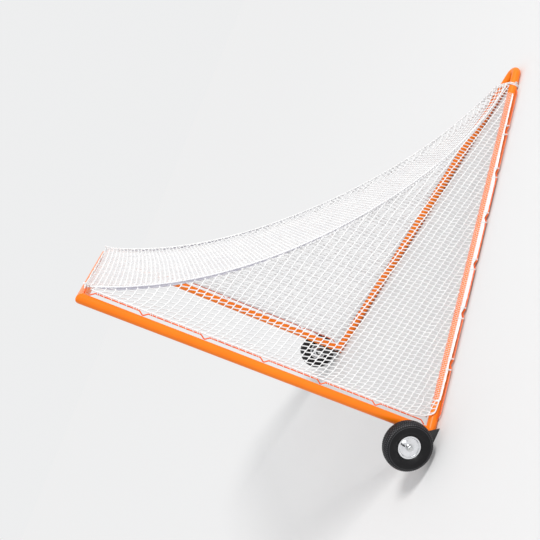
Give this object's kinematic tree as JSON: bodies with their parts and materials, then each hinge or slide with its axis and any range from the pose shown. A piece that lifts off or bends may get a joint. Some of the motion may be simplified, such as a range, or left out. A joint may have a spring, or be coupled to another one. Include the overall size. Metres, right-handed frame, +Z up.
{
  "type": "field lacrosse goal with transport wheels",
  "caption": "Square-mouthed sports goal of painted steel tube with a V-shaped ground base, lacing rails, a sagging twine net and transport wheels on brackets at the feet of the posts.",
  "frame": {"origin": "centre of the goal's footprint (its bounding box), on the ground", "axes": "+Z up, +Y out of the mouth at right angles to the goal line, +X along the goal line to the right as seen from behind the goal"},
  "size_m": [2.164, 2.3127, 1.8796],
  "materials": {
    "frame_paint": "semi-gloss orange powder coat",
    "zinc_steel": "bright zinc plating",
    "bracket_black": "black enamel",
    "net_twine": "white knotless braided twine",
    "net_rope": "white braided cord",
    "tyre_rubber": "black tyre rubber with fine tread",
    "tube_rubber": "matt black rubber",
    "rim_metal": "bright plated pressed steel"
  },
  "bodies": {
    "frame": {"base_nose": "frame_paint", "bracket_bolts": "bracket_black", "bracket_nuts": "zinc_steel", "bracket_washers": "bracket_black", "corner_knots": "net_rope", "crossbar": "frame_paint", "crossbar_lacing_rail": "frame_paint", "left_axle": "zinc_steel", "left_axle_jam_nut": "zinc_steel", "left_axle_locknut": "zinc_steel", "left_axle_spacer": "zinc_steel", "left_axle_washer": "zinc_steel", "left_base_bar": "frame_paint", "left_base_lacing_rail": "frame_paint", "left_border_rope": "net_rope", "left_clamp_block": "bracket_black", "left_post": "frame_paint", "left_post_lacing_rail": "frame_paint", "left_wheel_bracket": "bracket_black", "net_back_panel": "net_twine", "net_left_panel": "net_twine", "net_right_panel": "net_twine", "nose_bolts": "zinc_steel", "nose_lashing": "net_rope", "nose_nuts": "zinc_steel", "nose_saddle_washers": "zinc_steel", "right_axle": "zinc_steel", "right_axle_jam_nut": "zinc_steel", "right_axle_locknut": "zinc_steel", "right_axle_spacer": "zinc_steel", "right_axle_washer": "zinc_steel", "right_base_bar": "frame_paint", "right_base_lacing_rail": "frame_paint", "right_border_rope": "net_rope", "right_clamp_block": "bracket_black", "right_post": "frame_paint", "right_post_lacing_rail": "frame_paint", "right_wheel_bracket": "bracket_black", "top_border_rope": "net_rope"},
    "left_wheel": {"left_tyre": "tyre_rubber", "left_inner_tube": "tube_rubber", "left_rim_outer": "rim_metal", "left_rim_inner": "rim_metal", "left_hub": "zinc_steel", "left_bearings": "zinc_steel", "left_valve_stem": "tube_rubber"},
    "right_wheel": {"right_tyre": "tyre_rubber", "right_inner_tube": "tube_rubber", "right_rim_outer": "rim_metal", "right_rim_inner": "rim_metal", "right_hub": "zinc_steel", "right_bearings": "zinc_steel", "right_valve_stem": "tube_rubber"}
  },
  "joints": [
    {"name": "left_wheel_spin", "type": "hinge", "parent": "frame", "child": "left_wheel", "pos_m": [-1.03, 1.02838, 0.15], "axis": [1, 0, 0], "continuous": true},
    {"name": "right_wheel_spin", "type": "hinge", "parent": "frame", "child": "right_wheel", "pos_m": [1.03, 1.02838, 0.15], "axis": [1, 0, 0], "continuous": true}
  ]
}
